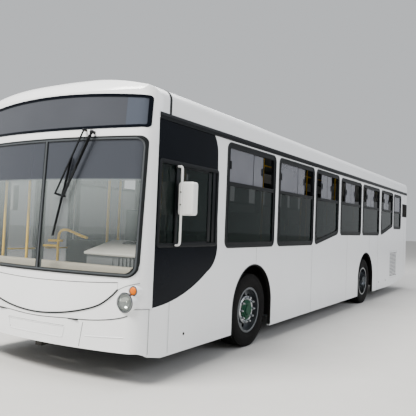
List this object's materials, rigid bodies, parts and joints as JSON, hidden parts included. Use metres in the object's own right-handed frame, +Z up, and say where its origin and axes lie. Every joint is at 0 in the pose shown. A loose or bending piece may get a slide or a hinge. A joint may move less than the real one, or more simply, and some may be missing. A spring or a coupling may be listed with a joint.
{
  "type": "city bus",
  "caption": "Low-entry single-deck city bus with opening doors, engine lid and radiator door, steered front wheels, twin rear wheels and a sweeping wiper.",
  "frame": {"origin": "on the ground below the middle of the bus's length and width", "axes": "+X forward, +Y to the bus's left, +Z up"},
  "size_m": [12.0394, 3.006, 3.11],
  "materials": {
    "white_paint": "white body paint over metal and moulded panels",
    "black_panel": "black bonded glass panel",
    "underframe": "black chassis paint",
    "floor_grey": "grey floor covering over boards",
    "rubber": "black sealing rubber",
    "frame_black": "black window frame",
    "window_glass": "lightly tinted safety glass",
    "sign_glass": "grey tinted sign panel",
    "lamp_clear": "clear lamp glass over a bright bowl",
    "lamp_red": "red lamp plastic",
    "tyre": "tyre rubber",
    "wheel_bright": "polished wheel",
    "steel": "machined steel",
    "cab_grey": "grey moulded dashboard",
    "seat_plastic": "green seat moulding",
    "pole_yellow": "yellow enamel on steel tube",
    "mirror_white": "white mirror housing",
    "wiper_black": "black wiper steel and rubber",
    "engine_iron": "engine casting"
  },
  "bodies": {
    "root": {"chassis_frame": "underframe", "low_floor": "floor_grey", "high_floor": "floor_grey", "left_lower_wall": "white_paint", "right_lower_wall": "white_paint", "left_window_band": "white_paint", "right_window_band": "white_paint", "driver_panel": "black_panel", "door_headers": "white_paint", "window_frames": "frame_black", "side_glass": "window_glass", "roof_shell": "white_paint", "roof_hatches": "white_paint", "gutter_rails": "frame_black", "front_mask": "white_paint", "front_hatch": "white_paint", "front_bumper": "white_paint", "windscreen_panes": "window_glass", "glazing_seals": "rubber", "destination_sign": "sign_glass", "front_lamps": "lamp_clear", "rear_mask": "white_paint", "rear_bumper": "white_paint", "rear_pane": "window_glass", "tail_lamps": "lamp_red", "engine_block": "engine_iron", "radiator": "engine_iron", "front_axle": "underframe", "rear_axle": "underframe", "dashboard": "cab_grey", "driver_seat": "cab_grey", "driver_screen": "window_glass", "seat_bases": "seat_plastic", "seat_backs": "seat_plastic", "handrails": "pole_yellow", "mirror_left": "mirror_white", "mirror_right": "mirror_white"},
    "left_knuckle": {"knuckle_left": "steel"},
    "right_knuckle": {"knuckle_right": "steel"},
    "wheel_front_left": {"tyre_front_left": "tyre", "rim_front_left": "wheel_bright"},
    "wheel_front_right": {"tyre_front_right": "tyre", "rim_front_right": "wheel_bright"},
    "wheel_rear_left": {"tyre_rear_left": "tyre", "rim_rear_left": "wheel_bright"},
    "wheel_rear_right": {"tyre_rear_right": "tyre", "rim_rear_right": "wheel_bright"},
    "leaf_front_a": {"door_front_a": "frame_black"},
    "leaf_front_b": {"door_front_b": "frame_black"},
    "leaf_middle_a": {"door_middle_a": "frame_black"},
    "leaf_middle_b": {"door_middle_b": "frame_black"},
    "body_steering_wheel": {"steering_wheel": "cab_grey"},
    "body_engine_lid": {"engine_lid": "white_paint"},
    "body_radiator_door": {"radiator_door": "white_paint"},
    "body_wiper_arm": {"wiper_arm": "wiper_black"},
    "body_wiper_link": {"wiper_link": "wiper_black"},
    "body_wiper_blade": {"wiper_blade": "wiper_black"}
  },
  "joints": [
    {"name": "steer_left", "type": "hinge", "parent": "root", "child": "left_knuckle", "pos_m": [3.516, 0.96, 0.48], "axis": [0, 0, 1], "range_deg": [-40, 40]},
    {"name": "spin_front_left", "type": "hinge", "parent": "left_knuckle", "child": "wheel_front_left", "pos_m": [3.516, 1.0975, 0.48], "axis": [0, 1, 0], "continuous": true},
    {"name": "spin_rear_left", "type": "hinge", "parent": "root", "child": "wheel_rear_left", "pos_m": [-1.829, 1.0975, 0.48], "axis": [0, 1, 0], "continuous": true},
    {"name": "steer_right", "type": "hinge", "parent": "root", "child": "right_knuckle", "pos_m": [3.516, -0.96, 0.48], "axis": [0, 0, 1], "range_deg": [-40, 40]},
    {"name": "spin_front_right", "type": "hinge", "parent": "right_knuckle", "child": "wheel_front_right", "pos_m": [3.516, -1.0975, 0.48], "axis": [0, 1, 0], "continuous": true},
    {"name": "spin_rear_right", "type": "hinge", "parent": "root", "child": "wheel_rear_right", "pos_m": [-1.829, -1.0975, 0.48], "axis": [0, 1, 0], "continuous": true},
    {"name": "steering_turn", "type": "hinge", "parent": "root", "child": "body_steering_wheel", "pos_m": [5.19, 0.72, 1.24], "axis": [-0.5736, 0, 0.8192], "range_deg": [-600, 600]},
    {"name": "door_front_swing_a", "type": "hinge", "parent": "root", "child": "leaf_front_a", "pos_m": [5.486, -1.255, 0.36], "axis": [0, 0, -1], "range_deg": [0, 90]},
    {"name": "door_front_swing_b", "type": "hinge", "parent": "root", "child": "leaf_front_b", "pos_m": [4.364, -1.255, 0.36], "axis": [0, 0, 1], "range_deg": [0, 90]},
    {"name": "door_middle_swing_a", "type": "hinge", "parent": "root", "child": "leaf_middle_a", "pos_m": [1.306, -1.255, 0.36], "axis": [0, 0, -1], "range_deg": [0, 90]},
    {"name": "door_middle_swing_b", "type": "hinge", "parent": "root", "child": "leaf_middle_b", "pos_m": [0.104, -1.255, 0.36], "axis": [0, 0, 1], "range_deg": [0, 90]},
    {"name": "engine_lid_lift", "type": "hinge", "parent": "root", "child": "body_engine_lid", "pos_m": [-5.992, 0, 1.552], "axis": [0, 1, 0], "range_deg": [0, 85]},
    {"name": "radiator_door_swing", "type": "hinge", "parent": "root", "child": "body_radiator_door", "pos_m": [-3.983, 1.267, 0.41], "axis": [0, 0, -1], "range_deg": [0, 110]},
    {"name": "wiper_sweep", "type": "hinge", "parent": "root", "child": "body_wiper_arm", "pos_m": [5.90774, 0.64, 2.485], "axis": [0.9946, 0.0965, 0.037], "range_deg": [-3, 52]},
    {"name": "wiper_link_turn", "type": "hinge", "parent": "root", "child": "body_wiper_link", "pos_m": [5.91696, 0.5354, 2.50998], "axis": [0.9946, 0.0965, 0.037], "range_deg": [-3, 52]},
    {"name": "wiper_blade_turn", "type": "hinge", "parent": "body_wiper_arm", "child": "body_wiper_blade", "pos_m": [5.96201, 0.3318, 1.83045], "axis": [0.9946, 0.0965, 0.037], "range_deg": [-52, 3]}
  ],
  "couplings": [
    {"joint": "steer_right", "follows": "steer_left", "ratio": 1},
    {"joint": "steering_turn", "follows": "steer_left", "ratio": 15},
    {"joint": "door_front_swing_b", "follows": "door_front_swing_a", "ratio": 1},
    {"joint": "door_middle_swing_b", "follows": "door_middle_swing_a", "ratio": 1},
    {"joint": "wiper_link_turn", "follows": "wiper_sweep", "ratio": 1},
    {"joint": "wiper_blade_turn", "follows": "wiper_sweep", "ratio": -1}
  ]
}
